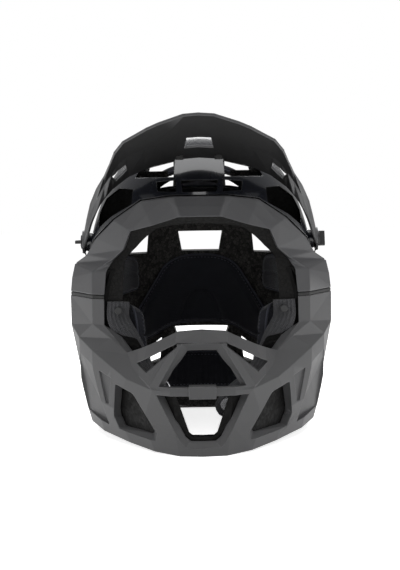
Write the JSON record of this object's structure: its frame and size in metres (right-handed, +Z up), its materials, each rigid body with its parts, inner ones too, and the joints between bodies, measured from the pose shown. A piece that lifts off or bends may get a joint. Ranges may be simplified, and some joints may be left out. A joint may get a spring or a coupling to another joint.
{
  "type": "full-face downhill bike helmet",
  "caption": "Full-face helmet for downhill riding with a faceted chin bar, a vented crown, a tilting visor, foam liner, comfort pads and a chin strap.",
  "frame": {"origin": "centre of the bounding box at the level of the surface that the helmet stands on", "axes": "+Z up, +Y out of the back of the head, -Y ahead, +X towards the wearer's left"},
  "size_m": [0.2436, 0.3432, 0.2786],
  "materials": {
    "frame_paint": "satin paint",
    "chin_paint": "satin paint",
    "shell_paint": "gloss lacquer",
    "visor_plastic": "satin",
    "foam": "beaded foam",
    "trim_plastic": "matt",
    "rubber": "matt",
    "hard_plastic": "moulded",
    "pad_fabric": "brushed knit",
    "steel": "brushed",
    "webbing": "woven",
    "anodised": "anodised"
  },
  "bodies": {
    "shell": {"back_liner": "foam", "brow_frame": "frame_paint", "brow_pad": "pad_fabric", "chin_bar": "chin_paint", "chin_liner": "foam", "crown_liner": "foam", "crown_pad": "pad_fabric", "nape_liner": "foam", "nape_pad": "pad_fabric", "rear_pad": "pad_fabric", "rear_shell": "shell_paint", "screw_insert_left": "steel", "screw_insert_right": "steel", "seam_strip_left": "trim_plastic", "seam_strip_right": "trim_plastic", "snap_button": "steel", "strap_anchor_left": "steel", "strap_anchor_right": "steel", "strap_left": "webbing", "strap_right": "webbing", "strap_ring_front": "steel", "strap_ring_rear": "steel", "strap_rivet_left": "steel", "strap_rivet_right": "steel", "temple_pad_left": "pad_fabric", "temple_pad_right": "pad_fabric", "upper_shell": "shell_paint", "visor_washer_left": "hard_plastic", "visor_washer_right": "hard_plastic"},
    "visor": {"visor": "visor_plastic", "visor_bumper_left": "rubber", "visor_bumper_right": "rubber"},
    "screw_left": {"thumb_screw_left": "anodised"},
    "screw_right": {"thumb_screw_right": "anodised"},
    "cheek_left": {"cheek_pad_left": "pad_fabric", "cheek_plate_left": "hard_plastic"},
    "cheek_right": {"cheek_pad_right": "pad_fabric", "cheek_plate_right": "hard_plastic"}
  },
  "joints": [
    {"name": "visor_tilt", "type": "hinge", "parent": "shell", "child": "visor", "pos_m": [0, 0.03439, 0.172], "axis": [1, 0, 0], "range_deg": [-4, 12]},
    {"name": "screw_left_turn", "type": "hinge", "parent": "shell", "child": "screw_left", "pos_m": [0.11, 0.03439, 0.172], "axis": [1, 0, 0], "range_deg": [0, 180]},
    {"name": "screw_right_turn", "type": "hinge", "parent": "shell", "child": "screw_right", "pos_m": [-0.11, 0.03439, 0.172], "axis": [-1, 0, 0], "range_deg": [0, 180]},
    {"name": "cheek_left_pull", "type": "slide", "parent": "shell", "child": "cheek_left", "axis": [-1, 0, 0], "range_m": [0, 0.014]},
    {"name": "cheek_right_pull", "type": "slide", "parent": "shell", "child": "cheek_right", "axis": [1, 0, 0], "range_m": [0, 0.014]}
  ]
}
